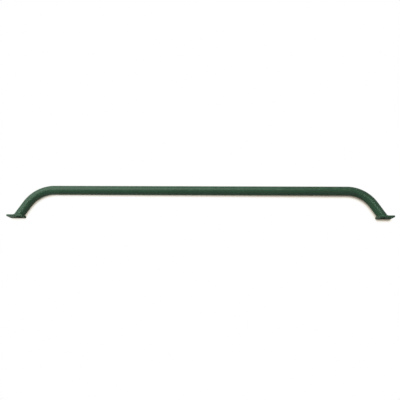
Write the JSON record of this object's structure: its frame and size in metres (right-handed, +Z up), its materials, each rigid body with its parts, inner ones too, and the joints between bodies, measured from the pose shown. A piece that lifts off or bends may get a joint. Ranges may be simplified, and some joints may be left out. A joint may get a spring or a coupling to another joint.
{
  "type": "kip bar",
  "caption": "Straight round steel bar whose ends bend down to flat welded foot plates, so that it stands off the surface it is fixed to as a hand bar.",
  "frame": {"origin": "bottom centre of the bounding box: midway between the feet, midway between the mounting plane and the far side of the bar, at the lower edges of the foot plates", "axes": "+X along the bar, +Y from the mounting plane towards the bar, +Z up, square to the plane that the tube is bent in"},
  "size_m": [1.114, 0.0938, 0.0318],
  "materials": {
    "tube_paint": "satin dark green powder coat",
    "plate_paint": "satin dark green powder coat over flat bar",
    "weld_paint": "satin dark green powder coat over a weld bead"
  },
  "bodies": {
    "root": {"bent_tube": "tube_paint", "left_foot_plate": "plate_paint", "right_foot_plate": "plate_paint", "left_weld": "weld_paint", "right_weld": "weld_paint"}
  },
  "joints": []
}
